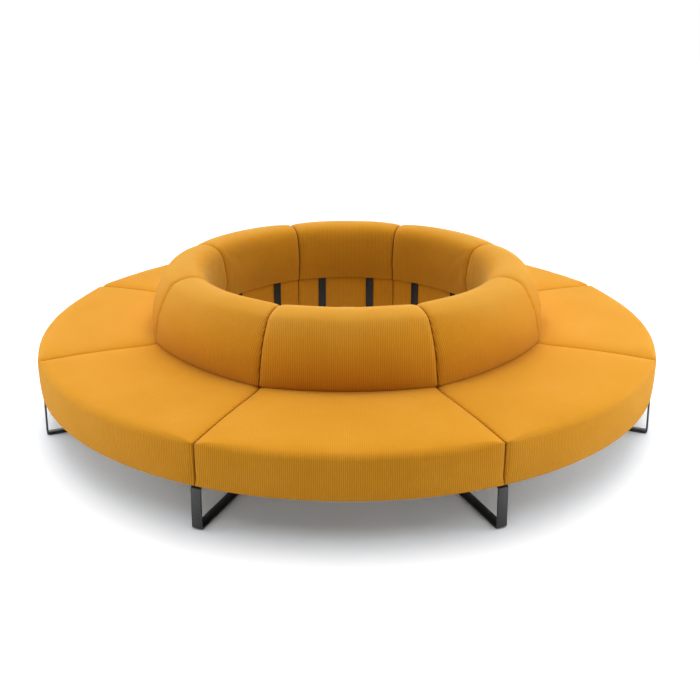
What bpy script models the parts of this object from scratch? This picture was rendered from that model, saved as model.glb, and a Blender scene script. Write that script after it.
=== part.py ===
"""Round lounge sofa: a ring of eight alike upholstered modules on flat-bar sled legs.

Every module is an eighth of the ring: a fat seat body, a leaning back cushion on its inner
half, a plywood base in the seat's underside, a curved plywood board inside the back and two
angled steel supports that tie the back to the base. One sled leg stands under each seam and
is screwed to the modules on both sides of it. Metres, +Z up, the ring's axis on Z, the floor
at zero. Module 1 faces -Y and the others follow anticlockwise seen from above.
"""

import math

import bmesh
import bpy
from mathutils import Matrix, Vector

# The ring and its modules
MODULE_COUNT = 8
ARC_STEPS = 8
MODULE_GAP = 0.002
CLEARANCE = 0.0003
CUT_OVERRUN = 0.01

# Seat body
OUTER_RADIUS = 1.613
INNER_RADIUS = 0.762
SEAT_HEIGHT = 0.394
UNDERSIDE_HEIGHT = 0.195
SEAT_CROWN = 0.008
RIM_ROUND = 0.030
OUTER_WALL_BULGE = 0.006
OUTER_WALL_FULLEST_SHARE = 0.6
CROWN_PLACE_SHARES = (0.3, 0.65)
INNER_EDGE_ROUND = 0.012
LOWER_EDGE_ROUND = 0.006
SEAT_SEAM_DIP = 0.008
SEAT_END_ROUND = 0.008

# Back cushion. Its inner side is in shares of the foam over the supports and of the height,
# from the lower lip up, and the rest in shares of the depth and of the height.
TOTAL_HEIGHT = 0.727
BACK_DEPTH = 0.318
BACK_INNER_FOAM = 0.0225
BACK_INNER_SIDE_SHARES = (
    (0.28, 0.00),
    (0.52, 0.16),
    (1.00, 0.32),
    (0.92, 0.48),
    (0.55, 0.64),
)
BACK_OUTLINE_SHARES = (
    (0.065, 0.78),
    (0.135, 0.90),
    (0.230, 0.965),
    (0.350, 1.00),
    (0.480, 0.995),
    (0.600, 0.965),
    (0.700, 0.91),
    (0.790, 0.78),
    (0.880, 0.60),
    (0.950, 0.39),
    (0.992, 0.12),
    (1.000, 0.00),
)
BACK_DRAWN_DOWN = 0.010
BACK_DRAWN_IN = 0.005
BACK_FRONT_FLATTENING = 0.026
BACK_END_ROUND = 0.018

# Plywood
PLY_THICKNESS = 0.018
BASE_OUTER_FOAM = 0.030
BASE_INNER_FOAM = 0.022
BASE_SEAM_FOAM = 0.030
BACK_BOARD_HEIGHT_SHARE = 0.6
BACK_BOARD_STEPS = 6

# Angled steel supports between base and back
SUPPORT_THICKNESS = 0.006
SUPPORT_WIDTH = 0.045
SUPPORT_BEND = 0.004
SUPPORT_FOOT_REACH = 0.080
SUPPORT_TOP_SHARE = 0.85
SUPPORT_PLACE_SHARE = 2 / 3
FOOT_SCREW_SHARES = (0.25, 0.75)
BACK_SCREW_SHARE = 0.6

# Sled legs
LEG_THICKNESS = 0.008
LEG_WIDTH = 0.045
LEG_BEND = 0.008
LEG_OUTER_INSET = 0.012
LEG_INNER_INSET = 0.068
CORNER_STEPS = 3
PLATE_THICKNESS = 0.005
PLATE_LENGTH = 0.150
PLATE_WIDTH = 0.060
PLATE_INSET = 0.100
WELD_DEPTH = 0.001

# Screws, turned with six sides, each one body with the steel that it clamps
SCREW_SIDES = 6
LEG_SCREW_HEAD_RADIUS = 0.0075
LEG_SCREW_HEAD_HEIGHT = 0.005
LEG_SCREW_RADIUS = 0.004
LEG_SCREW_SPACING_SHARE = 0.73
SUPPORT_SCREW_HEAD_RADIUS = 0.0065
SUPPORT_SCREW_HEAD_HEIGHT = 0.003
SUPPORT_SCREW_RADIUS = 0.003
PLY_BITE_SHARE = 0.8
STEEL_BITE_SHARE = 0.5
SCREW_SEAT_DEPTH = 0.001

# Sizes that follow from the ones above
MODULE_ANGLE = 2 * math.pi / MODULE_COUNT
HALF_ANGLE = MODULE_ANGLE / 2
STEP_ANGLE = MODULE_ANGLE / ARC_STEPS
# A flat piece against a wall in flat steps stands off by the step's fall across its width.
STEP_FALL_SHARE = math.tan(STEP_ANGLE / 2)
SUPPORT_ANGLE = STEP_ANGLE * BACK_BOARD_STEPS / 2 * SUPPORT_PLACE_SHARE
SUPPORT_OUTER_FACE = INNER_RADIUS - SUPPORT_WIDTH / 2 * STEP_FALL_SHARE - CLEARANCE
SUPPORT_INNER_FACE = SUPPORT_OUTER_FACE - SUPPORT_THICKNESS
BACK_BASE = SEAT_HEIGHT + CLEARANCE
BACK_HEIGHT = TOTAL_HEIGHT - BACK_BASE
BACK_BOARD_HEIGHT = BACK_HEIGHT * BACK_BOARD_HEIGHT_SHARE
BACK_SCREW_SEAT = INNER_RADIUS + PLY_THICKNESS + CLEARANCE
BACK_SCREW_HEIGHT = BACK_BASE + BACK_SCREW_SHARE * BACK_BOARD_HEIGHT
BACK_SCREW_LENGTH = BACK_SCREW_SEAT - SUPPORT_OUTER_FACE + SUPPORT_THICKNESS * STEEL_BITE_SHARE
SLOT_INNER_RADIUS = SUPPORT_INNER_FACE - CLEARANCE
SLOT_OUTER_RADIUS = (
    BACK_SCREW_SEAT + SUPPORT_SCREW_HEAD_HEIGHT + SUPPORT_SCREW_HEAD_RADIUS * STEP_FALL_SHARE + CLEARANCE
)
SLOT_TOP = BACK_BASE + BACK_BOARD_HEIGHT + CLEARANCE
BACK_INNER_RADIUS = SLOT_INNER_RADIUS - BACK_INNER_FOAM
BACK_FRONT_RADIUS = BACK_INNER_RADIUS + BACK_DEPTH
BASE_INNER_RADIUS = INNER_RADIUS + BASE_INNER_FOAM
BASE_OUTER_RADIUS = OUTER_RADIUS - BASE_OUTER_FOAM
FOOT_TOP = UNDERSIDE_HEIGHT - CLEARANCE
FOOT_END = BASE_INNER_RADIUS + SUPPORT_FOOT_REACH
FOOT_SCREW_RADII = [BASE_INNER_RADIUS + SUPPORT_FOOT_REACH * share for share in FOOT_SCREW_SHARES]
SUPPORT_TOP = BACK_BASE + BACK_BOARD_HEIGHT * SUPPORT_TOP_SHARE
PLY_BITE = CLEARANCE + PLY_THICKNESS * PLY_BITE_SHARE
FOOT_SCREW_LENGTH = SUPPORT_THICKNESS - SCREW_SEAT_DEPTH + PLY_BITE
LEG_SCREW_LENGTH = PLATE_THICKNESS - SCREW_SEAT_DEPTH + PLY_BITE
LEG_SCREW_OFFSET = PLATE_LENGTH * LEG_SCREW_SPACING_SHARE / 2
LEG_OUTER_FACE = OUTER_RADIUS - LEG_OUTER_INSET
LEG_INNER_FACE = INNER_RADIUS + LEG_INNER_INSET
PLATE_TOP = UNDERSIDE_HEIGHT - CLEARANCE
PLATE_BOTTOM = PLATE_TOP - PLATE_THICKNESS
PLATE_RADII = (LEG_INNER_FACE + PLATE_INSET, LEG_OUTER_FACE - PLATE_INSET)
LEG_TOP = PLATE_BOTTOM + WELD_DEPTH

# Stands a flat outline, drawn as distance from the axis and height, upright towards -Y.
UPRIGHT = Matrix(((0, 0, -1, 0), (-1, 0, 0, 0), (0, 1, 0, 0), (0, 0, 0, 1)))


def clear_scene():
    for obj in list(bpy.data.objects):
        bpy.data.objects.remove(obj, do_unlink=True)


def new_collection(name):
    collection = bpy.data.collections.new(name)
    bpy.context.scene.collection.children.link(collection)
    return collection


def make_material(name, colour, roughness, metallic):
    material = bpy.data.materials.new(name)
    material.use_nodes = True
    shader = material.node_tree.nodes["Principled BSDF"]
    shader.inputs["Base Color"].default_value = (*colour, 1)
    shader.inputs["Roughness"].default_value = roughness
    shader.inputs["Metallic"].default_value = metallic
    material.diffuse_color = (*colour, 1)
    return material


def polar(radius, angle, height):
    """A point at an angle from the front, which is -Y, positive towards +X."""
    return Vector((radius * math.sin(angle), -radius * math.cos(angle), height))


def turned(angle):
    return Matrix.Rotation(angle, 4, "Z")


def arc(centre_x, centre_y, radius, start, end, steps):
    """Points along an arc, with the angles in degrees."""
    angles = [math.radians(start + (end - start) * step / steps) for step in range(steps + 1)]
    return [(centre_x + radius * math.cos(a), centre_y + radius * math.sin(a)) for a in angles]


def finished(bm, name):
    """The bmesh as a mesh with its faces pointing out and its round faces smooth."""
    bmesh.ops.recalc_face_normals(bm, faces=bm.faces[:])
    mesh = bpy.data.meshes.new(name)
    bm.to_mesh(mesh)
    bm.free()
    mesh.shade_smooth()
    mesh.set_sharp_from_angle(angle=math.radians(40))
    return mesh


def outline_mesh(name, outline, low, high):
    """A solid between two heights from a closed flat outline."""
    curve = bpy.data.curves.new(name, "CURVE")
    curve.dimensions = "2D"
    curve.fill_mode = "BOTH"
    curve.extrude = (high - low) / 2
    spline = curve.splines.new("POLY")
    spline.points.add(len(outline) - 1)
    for point, (x, y) in zip(spline.points, outline):
        point.co = (x, y, 0, 1)
    spline.use_cyclic_u = True
    guide = bpy.data.objects.new(name, curve)
    bpy.context.scene.collection.objects.link(guide)
    guide.location.z = (low + high) / 2
    bpy.context.view_layer.update()
    graph = bpy.context.evaluated_depsgraph_get()
    mesh = bpy.data.meshes.new_from_object(guide.evaluated_get(graph))
    bm = bmesh.new()
    bm.from_mesh(mesh)
    bm.transform(guide.matrix_world)
    bmesh.ops.remove_doubles(bm, verts=bm.verts[:], dist=CLEARANCE / 10)
    bpy.data.objects.remove(guide)
    bpy.data.curves.remove(curve)
    bpy.data.meshes.remove(mesh)
    return finished(bm, name)


def bent_bar_mesh(name, path, closed, width, thickness, side):
    """A flat bar bent along an upright path towards -Y, which is its face on one side."""
    curve = bpy.data.curves.new(name, "CURVE")
    curve.dimensions = "2D"
    curve.fill_mode = "NONE"
    curve.extrude = width / 2
    spline = curve.splines.new("POLY")
    spline.points.add(len(path) - 1)
    for point, (x, y) in zip(spline.points, path):
        point.co = (x, y, 0, 1)
    spline.use_cyclic_u = closed
    guide = bpy.data.objects.new(name, curve)
    bpy.context.scene.collection.objects.link(guide)
    solidify = guide.modifiers.new("Solidify", "SOLIDIFY")
    solidify.thickness = thickness
    solidify.offset = side
    solidify.use_even_offset = True
    bpy.context.view_layer.update()
    graph = bpy.context.evaluated_depsgraph_get()
    mesh = bpy.data.meshes.new_from_object(guide.evaluated_get(graph))
    bm = bmesh.new()
    bm.from_mesh(mesh)
    bmesh.ops.remove_doubles(bm, verts=bm.verts[:], dist=CLEARANCE / 10)
    bm.transform(UPRIGHT)
    bpy.data.objects.remove(guide)
    bpy.data.curves.remove(curve)
    bpy.data.meshes.remove(mesh)
    return finished(bm, name)


def box_mesh(name, size, centre):
    bm = bmesh.new()
    bmesh.ops.create_cube(bm, size=1)
    bm.transform(Matrix.Translation(centre) @ Matrix.Diagonal((*size, 1)))
    return finished(bm, name)


def turned_mesh(name, profile):
    """A six-sided body turned about Z from a profile that runs down from the axis to the axis."""
    guide = bpy.data.objects.new(name, bpy.data.meshes.new(name))
    edges = [(index, index + 1) for index in range(len(profile) - 1)]
    guide.data.from_pydata([(x, 0, z) for x, z in profile], edges, [])
    bpy.context.scene.collection.objects.link(guide)
    screw = guide.modifiers.new("Screw", "SCREW")
    screw.steps = SCREW_SIDES
    screw.render_steps = SCREW_SIDES
    screw.use_merge_vertices = True
    screw.merge_threshold = CLEARANCE / 10
    bpy.context.view_layer.update()
    graph = bpy.context.evaluated_depsgraph_get()
    mesh = bpy.data.meshes.new_from_object(guide.evaluated_get(graph))
    bpy.data.objects.remove(guide)
    bm = bmesh.new()
    bm.from_mesh(mesh)
    bmesh.ops.remove_doubles(bm, verts=bm.verts[:], dist=CLEARANCE / 10)
    return finished(bm, name)


def screw_mesh(name, head_radius, head_height, shank_radius, shank_length):
    """A screw with the underside of its head at zero and its shank pointing up."""
    profile = (
        (0, shank_length),
        (shank_radius, shank_length),
        (shank_radius, 0),
        (head_radius, 0),
        (head_radius, -head_height),
        (0, -head_height),
    )
    return turned_mesh(name, profile)


def hole_mesh(name, shank_radius, low, high):
    """An upright cutter that clears a screw's shank all round."""
    radius = shank_radius + CLEARANCE / math.cos(math.pi / SCREW_SIDES)
    return turned_mesh(name, ((0, high), (radius, high), (radius, low), (0, low)))


def merged_mesh(name, pieces):
    """Copies of meshes as separate bodies in one mesh, from pairs of a mesh and its place."""
    bm = bmesh.new()
    for mesh, place in pieces:
        first = len(bm.verts)
        bm.from_mesh(mesh)
        bm.verts.ensure_lookup_table()
        bmesh.ops.transform(bm, matrix=place, verts=bm.verts[first:])
    return finished(bm, name)


def boolean_mesh(name, mesh, tool_mesh, operation="DIFFERENCE"):
    """The mesh after an exact Boolean with a tool, which stays in the cutters' collection."""
    body = bpy.data.objects.new(name, mesh)
    bpy.context.scene.collection.objects.link(body)
    tool = bpy.data.objects.new(name + "_tool", tool_mesh)
    tool.hide_render = True
    tool.display_type = "WIRE"
    cutters.objects.link(tool)
    modifier = body.modifiers.new("Boolean", "BOOLEAN")
    modifier.operation = operation
    modifier.solver = "EXACT"
    modifier.object = tool
    bpy.context.view_layer.update()
    graph = bpy.context.evaluated_depsgraph_get()
    result = bpy.data.meshes.new_from_object(body.evaluated_get(graph))
    bpy.data.objects.remove(body)
    bm = bmesh.new()
    bm.from_mesh(result)
    bmesh.ops.remove_doubles(bm, verts=bm.verts[:], dist=CLEARANCE / 10)
    bpy.data.meshes.remove(result)
    return finished(bm, name)


def sector_cushion(name, section, shape, end_round, base_height):
    """Turns a section, as points of radius and height, through one module and rounds its ends.

    shape takes a point's radius, height and place along the module, from -1 to 1, and gives
    its new radius and height. The lower edges stay crisp, and half the module gap is left at
    each end.
    """
    bm = bmesh.new()
    ring = [bm.verts.new(polar(radius, -HALF_ANGLE, height)) for radius, height in section]
    face = bm.faces.new(ring)
    bmesh.ops.spin(
        bm,
        geom=[face, *face.edges, *face.verts],
        cent=(0, 0, 0),
        axis=(0, 0, 1),
        angle=MODULE_ANGLE,
        steps=ARC_STEPS,
        use_duplicate=False,
    )
    end_verts = set()
    for vert in bm.verts:
        angle = math.atan2(vert.co.x, -vert.co.y)
        place = angle / HALF_ANGLE
        radius, height = shape(math.hypot(vert.co.x, vert.co.y), vert.co.z, place)
        vert.co = polar(radius, angle, height)
        if abs(place) > 1 - 0.5 / ARC_STEPS:
            end_verts.add(vert)
            side = math.copysign(1, place)
            across = Vector((math.cos(angle), math.sin(angle), 0))
            vert.co -= across * side * MODULE_GAP / 2
    rounded = [
        edge
        for edge in bm.edges
        if set(edge.verts) <= end_verts
        and len(edge.link_faces) == 2
        and any(vert.co.z > base_height + CLEARANCE for vert in edge.verts)
    ]
    bmesh.ops.bevel(
        bm, geom=rounded, offset=end_round, offset_type="OFFSET", segments=2, profile=0.5, affect="EDGES"
    )
    return finished(bm, name)


def sector_outline(inner, outer, seam_inset):
    """A module's plan between two radii, with its sides a set distance inside the seams."""
    outer_half = HALF_ANGLE - math.asin(seam_inset / outer)
    inner_half = HALF_ANGLE - math.asin(seam_inset / inner)
    places = [2 * step / ARC_STEPS - 1 for step in range(ARC_STEPS + 1)]
    points = [polar(outer, outer_half * place, 0) for place in places]
    points += [polar(inner, -inner_half * place, 0) for place in places]
    return [(point.x, point.y) for point in points]


def curved_wall(name, inner, outer, low, high, steps, side_room=0.0):
    """An upright wall between two radii in the same flat steps as the cushions' walls."""
    half = STEP_ANGLE * steps / 2
    angles = [half * (2 * step / steps - 1) for step in range(steps + 1)]
    points = [polar(outer, angle, 0) for angle in angles]
    points += [polar(inner, angle, 0) for angle in reversed(angles)]
    for index in (0, -1, steps, steps + 1):
        angle = math.atan2(points[index].x, -points[index].y)
        side = math.copysign(1, angle)
        points[index] += Vector((math.cos(angle), math.sin(angle), 0)) * side * side_room
    return outline_mesh(name, [(point.x, point.y) for point in points], low, high)


def seat_section():
    """The seat body's section from its lower outer edge over the top to its lower inner edge."""
    rim_centre = (OUTER_RADIUS - RIM_ROUND, SEAT_HEIGHT - RIM_ROUND)
    wall_height = rim_centre[1] - UNDERSIDE_HEIGHT
    points = [
        (OUTER_RADIUS - OUTER_WALL_BULGE, UNDERSIDE_HEIGHT),
        (OUTER_RADIUS, UNDERSIDE_HEIGHT + wall_height * OUTER_WALL_FULLEST_SHARE),
    ]
    points += arc(*rim_centre, RIM_ROUND, 0, 90, 3)
    for share in CROWN_PLACE_SHARES:
        radius = rim_centre[0] + (BACK_FRONT_RADIUS - rim_centre[0]) * share
        points.append((radius, SEAT_HEIGHT + SEAT_CROWN * 4 * share * (1 - share)))
    points.append((BACK_FRONT_RADIUS, SEAT_HEIGHT))
    points += arc(
        INNER_RADIUS + INNER_EDGE_ROUND, SEAT_HEIGHT - INNER_EDGE_ROUND, INNER_EDGE_ROUND, 90, 180, 2
    )
    points.append((INNER_RADIUS, UNDERSIDE_HEIGHT + LOWER_EDGE_ROUND))
    points.append((INNER_RADIUS + LOWER_EDGE_ROUND, UNDERSIDE_HEIGHT))
    return points


def seat_shape(radius, height, place):
    """Lets the open part of the seat's top dip towards the seams."""
    on_top = radius > BACK_FRONT_RADIUS + CLEARANCE and height > SEAT_HEIGHT - RIM_ROUND
    dip = SEAT_SEAM_DIP * abs(place) ** 6 if on_top else 0
    return radius, height - dip


def back_section():
    """The back cushion's section from its lip, up its inner side and down its front."""
    points = []
    for foam_share, height_share in BACK_INNER_SIDE_SHARES:
        radius = SLOT_INNER_RADIUS - foam_share * BACK_INNER_FOAM
        points.append((radius, BACK_BASE + height_share * BACK_HEIGHT))
    for depth_share, height_share in BACK_OUTLINE_SHARES:
        radius = BACK_INNER_RADIUS + depth_share * BACK_DEPTH
        points.append((radius, BACK_BASE + height_share * BACK_HEIGHT))
    return points


def back_shape(radius, height, place):
    """Draws the crown down and the sides in towards the seams and flattens the front's foot."""
    pull = abs(place) ** 4
    rise = (height - BACK_BASE) / BACK_HEIGHT
    depth_share = (radius - BACK_INNER_RADIUS) / BACK_DEPTH
    drawn_in = BACK_DRAWN_IN * pull * (2 * depth_share - 1) * rise
    flattening = BACK_FRONT_FLATTENING * (1 - place**2) * depth_share**2 * (1 - rise)
    return radius - drawn_in - flattening, height - BACK_DRAWN_DOWN * pull * rise


def leg_screw_places():
    """The leg's screws in the frame of a leg that stands towards -Y, as (side, place)."""
    places = []
    for radius in PLATE_RADII:
        for side in (-1, 1):
            across = side * LEG_SCREW_OFFSET
            height = PLATE_BOTTOM + SCREW_SEAT_DEPTH
            places.append((side, Matrix.Translation((across, -radius, height))))
    return places


def foot_screw_places():
    """The screws through a support's foot, in the frame of a support towards -Y."""
    height = FOOT_TOP - SUPPORT_THICKNESS + SCREW_SEAT_DEPTH
    return [Matrix.Translation((0, -radius, height)) for radius in FOOT_SCREW_RADII]


def back_screw_place():
    """The screw from the back board's front into a support, lying towards the ring's axis."""
    lying = Matrix.Rotation(-math.pi / 2, 4, "X")
    return Matrix.Translation((0, -BACK_SCREW_SEAT, BACK_SCREW_HEIGHT)) @ lying


def make_seat_cushion():
    body = sector_cushion("seat_cushion", seat_section(), seat_shape, SEAT_END_ROUND, UNDERSIDE_HEIGHT)
    outline = sector_outline(
        BASE_INNER_RADIUS - CLEARANCE, BASE_OUTER_RADIUS + CLEARANCE, BASE_SEAM_FOAM - CLEARANCE
    )
    roof = UNDERSIDE_HEIGHT + PLY_THICKNESS + CLEARANCE
    recess = outline_mesh("base_recess", outline, UNDERSIDE_HEIGHT - CUT_OVERRUN, roof)
    return boolean_mesh("seat_cushion", body, recess)


def make_seat_base():
    outline = sector_outline(BASE_INNER_RADIUS, BASE_OUTER_RADIUS, BASE_SEAM_FOAM)
    board = outline_mesh("seat_base", outline, UNDERSIDE_HEIGHT, UNDERSIDE_HEIGHT + PLY_THICKNESS)
    leg_hole = hole_mesh("leg_hole", LEG_SCREW_RADIUS, -CUT_OVERRUN, LEG_SCREW_LENGTH + CLEARANCE)
    foot_hole = hole_mesh(
        "foot_hole", SUPPORT_SCREW_RADIUS, -CUT_OVERRUN, FOOT_SCREW_LENGTH + CLEARANCE
    )
    holes = []
    for seam in (-1, 1):
        for side, place in leg_screw_places():
            if side == -seam:
                holes.append((leg_hole, turned(seam * HALF_ANGLE) @ place))
        for place in foot_screw_places():
            holes.append((foot_hole, turned(seam * SUPPORT_ANGLE) @ place))
    return boolean_mesh("seat_base", board, merged_mesh("base_holes", holes))


def make_back_cushion():
    body = sector_cushion("back_cushion", back_section(), back_shape, BACK_END_ROUND, BACK_BASE)
    slot = curved_wall(
        "board_slot",
        SLOT_INNER_RADIUS,
        SLOT_OUTER_RADIUS,
        BACK_BASE - CUT_OVERRUN,
        SLOT_TOP,
        BACK_BOARD_STEPS,
        CLEARANCE,
    )
    return boolean_mesh("back_cushion", body, slot)


def make_back_board():
    board = curved_wall(
        "back_board",
        INNER_RADIUS,
        INNER_RADIUS + PLY_THICKNESS,
        BACK_BASE,
        BACK_BASE + BACK_BOARD_HEIGHT,
        BACK_BOARD_STEPS,
    )
    hole = hole_mesh("back_hole", SUPPORT_SCREW_RADIUS, -CUT_OVERRUN, PLY_THICKNESS + CUT_OVERRUN)
    holes = [(hole, turned(side * SUPPORT_ANGLE) @ back_screw_place()) for side in (-1, 1)]
    return boolean_mesh("back_board", board, merged_mesh("back_holes", holes))


def make_support():
    """A flat bar that is bent under the seat and stands against its inner wall."""
    bend = SUPPORT_BEND + SUPPORT_THICKNESS
    path = [(SUPPORT_INNER_FACE, SUPPORT_TOP)]
    path += arc(SUPPORT_INNER_FACE + bend, FOOT_TOP + SUPPORT_BEND, bend, 180, 270, CORNER_STEPS)
    path.append((FOOT_END, FOOT_TOP - SUPPORT_THICKNESS))
    bar = bent_bar_mesh("back_support", path, False, SUPPORT_WIDTH, SUPPORT_THICKNESS, 1)
    head = (SUPPORT_SCREW_HEAD_RADIUS, SUPPORT_SCREW_HEAD_HEIGHT, SUPPORT_SCREW_RADIUS)
    foot_screw = screw_mesh("foot_screw", *head, FOOT_SCREW_LENGTH)
    back_screw = screw_mesh("back_screw", *head, BACK_SCREW_LENGTH)
    screws = [(foot_screw, place) for place in foot_screw_places()]
    screws.append((back_screw, back_screw_place()))
    return boolean_mesh("back_support", bar, merged_mesh("support_screws", screws), "UNION")


def rounded_rectangle(left, right, bottom, top, corner):
    points = arc(right - corner, bottom + corner, corner, -90, 0, CORNER_STEPS)
    points += arc(right - corner, top - corner, corner, 0, 90, CORNER_STEPS)
    points += arc(left + corner, top - corner, corner, 90, 180, CORNER_STEPS)
    points += arc(left + corner, bottom + corner, corner, 180, 270, CORNER_STEPS)
    return points


def make_leg():
    """A closed loop of flat bar with two plates welded on its top run and their four screws."""
    path = rounded_rectangle(LEG_INNER_FACE, LEG_OUTER_FACE, 0, LEG_TOP, LEG_BEND + LEG_THICKNESS)
    loop = bent_bar_mesh("leg", path, True, LEG_WIDTH, LEG_THICKNESS, -1)
    plates = []
    for radius in PLATE_RADII:
        centre = (0, -radius, (PLATE_TOP + PLATE_BOTTOM) / 2)
        plates.append((box_mesh("plate", (PLATE_LENGTH, PLATE_WIDTH, PLATE_THICKNESS), centre), Matrix()))
    welded = boolean_mesh("leg", loop, merged_mesh("leg_plates", plates), "UNION")
    screw = screw_mesh(
        "leg_screw", LEG_SCREW_HEAD_RADIUS, LEG_SCREW_HEAD_HEIGHT, LEG_SCREW_RADIUS, LEG_SCREW_LENGTH
    )
    screws = [(screw, place) for _, place in leg_screw_places()]
    return boolean_mesh("leg", welded, merged_mesh("leg_screws", screws), "UNION")


def add_node(name, mesh, material, parent=None):
    if not mesh.materials:
        mesh.materials.append(material)
    obj = bpy.data.objects.new(name, mesh)
    parts.objects.link(obj)
    obj.parent = parent
    return obj


def add_frame(name, angle):
    """An empty on the ring's axis that carries the pieces of one module or leg."""
    frame = bpy.data.objects.new(name, None)
    frame.rotation_euler.z = angle
    parts.objects.link(frame)
    return frame


clear_scene()
parts = new_collection("round_sofa")
cutters = new_collection("cutters")
cutters.hide_render = True

fabric = make_material("mustard_fabric", (0.72, 0.36, 0.045), 0.9, 0.0)
plywood = make_material("birch_plywood", (0.62, 0.45, 0.27), 0.6, 0.0)
steel = make_material("black_powder_coat", (0.02, 0.022, 0.024), 0.45, 0.0)

seat_cushion = make_seat_cushion()
seat_base = make_seat_base()
back_cushion = make_back_cushion()
back_board = make_back_board()
support = make_support()
leg = make_leg()

for number in range(1, MODULE_COUNT + 1):
    module = add_frame(f"module_{number}", (number - 1) * MODULE_ANGLE)
    add_node(f"seat_cushion_{number}", seat_cushion, fabric, module)
    add_node(f"seat_base_{number}", seat_base, plywood, module)
    add_node(f"back_cushion_{number}", back_cushion, fabric, module)
    add_node(f"back_board_{number}", back_board, plywood, module)
    for side, word in ((-1, "left"), (1, "right")):
        bar = add_node(f"back_support_{number}_{word}", support, steel, module)
        bar.rotation_euler.z = side * SUPPORT_ANGLE
    seam = add_frame(f"seam_{number}", (number - 0.5) * MODULE_ANGLE)
    add_node(f"leg_{number}", leg, steel, seam)
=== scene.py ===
"""A round lounge sofa: eight upholstered modules in a ring, back to back around an open centre,
on sled legs of black flat steel. Metres, the ring's axis on Z, module 1 towards -Y."""

import math

import bmesh
import bpy
from mathutils import Matrix, Vector


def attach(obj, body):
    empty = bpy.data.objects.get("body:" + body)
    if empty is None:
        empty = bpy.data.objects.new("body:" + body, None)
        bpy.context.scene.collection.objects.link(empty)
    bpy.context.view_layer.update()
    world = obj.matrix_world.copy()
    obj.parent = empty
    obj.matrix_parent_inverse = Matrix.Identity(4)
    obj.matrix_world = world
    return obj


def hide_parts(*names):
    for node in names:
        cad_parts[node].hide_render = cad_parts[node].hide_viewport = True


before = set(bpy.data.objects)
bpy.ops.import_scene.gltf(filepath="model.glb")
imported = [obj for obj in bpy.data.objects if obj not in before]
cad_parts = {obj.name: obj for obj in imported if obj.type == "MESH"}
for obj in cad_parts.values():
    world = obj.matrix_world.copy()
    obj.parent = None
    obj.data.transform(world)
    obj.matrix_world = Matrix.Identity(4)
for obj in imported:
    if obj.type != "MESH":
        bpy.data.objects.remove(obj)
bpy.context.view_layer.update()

# Sled legs: one loop of 45 x 8 mm flat steel under each seam, bent at its four corners and
# welded shut, with two plates welded on its top run that are screwed to the modules on both
# sides of the seam. Satin black powder coat, scuffed matt on the faces that lie upwards.
MODULES = 8
MODULE_ANGLE = 2 * math.pi / MODULES
LEG_WIDTH = 0.045
LEG_THICKNESS = 0.008
LEG_BEND = 0.008
LEG_BEND_STEPS = 10
LEG_OUTER_FACE = 1.601
LEG_INNER_FACE = 0.830
LEG_TOP = 0.1907
PLATE_SIZE = (0.150, 0.060, 0.005)
PLATE_MIDDLE = 0.1922
PLATE_RADII = (0.930, 1.501)
LEG_SCREW_OFFSET = 0.05475
LEG_SCREW_HEAD = (0.0075, 0.005)
SCREW_DOME = 0.55
SCREW_SOCKET = 0.4
WELD_RADIUS = 0.0028
WELD_LENGTH = 0.9 * PLATE_SIZE[1]
WELD_RIPPLES = 24
WELD_HOLLOW = 0.84
WELD_END = 0.5
EASED_EDGE = 0.0007
SMOOTH_STEEL = math.radians(35)
COAT_BLACK = (0.0040, 0.0046, 0.0042)
COAT_RUBBED = (0.020, 0.022, 0.021)
COAT_DUSTY = (0.012, 0.012, 0.0115)
COAT_SATIN = 0.62
COAT_SCUFFED = 0.07
COAT_ROUGHNESS = 0.28
COAT_SCALES = (900.0, 14.0)
COAT_RUB = (0.52, 9.0)
COAT_DUST = (18.0, 0.5)
COAT_RELIEF = (0.12, 0.0004)
UPWARD = 0.4


def picked(piece):
    """Leaves one piece selected and active, and gives it back."""
    bpy.ops.object.select_all(action="DESELECT")
    piece.select_set(True)
    bpy.context.view_layer.objects.active = piece
    return piece


def settled(piece):
    """Puts a piece's place, turn and scale into its mesh."""
    picked(piece)
    bpy.ops.object.transform_apply(location=True, rotation=True, scale=True)
    return piece


def select_parts(piece, kind, test):
    """In edit mode, selects the edges or faces that pass a test, and nothing else."""
    bpy.ops.mesh.select_mode(type=kind)
    bpy.ops.mesh.select_all(action="DESELECT")
    bm = bmesh.from_edit_mesh(piece.data)
    for part in bm.edges if kind == "EDGE" else bm.faces:
        if test(part):
            part.select_set(True)
    bmesh.update_edit_mesh(piece.data)


def with_modifier(piece, kind, **settings):
    """Adds a modifier with these settings and applies it."""
    picked(piece)
    modifier = piece.modifiers.new(kind.title(), kind)
    for name, value in settings.items():
        setattr(modifier, name, value)
    bpy.ops.object.modifier_apply(modifier=modifier.name)
    return piece


def joined(first, *others):
    """Makes one piece of several, named after the first."""
    picked(first)
    for other in others:
        other.select_set(True)
    bpy.ops.object.join()
    return first


def turned_copy(piece, name, angle=0.0):
    """A copy with its own mesh, turned about the ring's axis."""
    mesh = piece.data.copy()
    mesh.transform(Matrix.Rotation(angle, 4, "Z"))
    copy = bpy.data.objects.new(name, mesh)
    copy.data.name = name
    bpy.context.scene.collection.objects.link(copy)
    return copy


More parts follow.
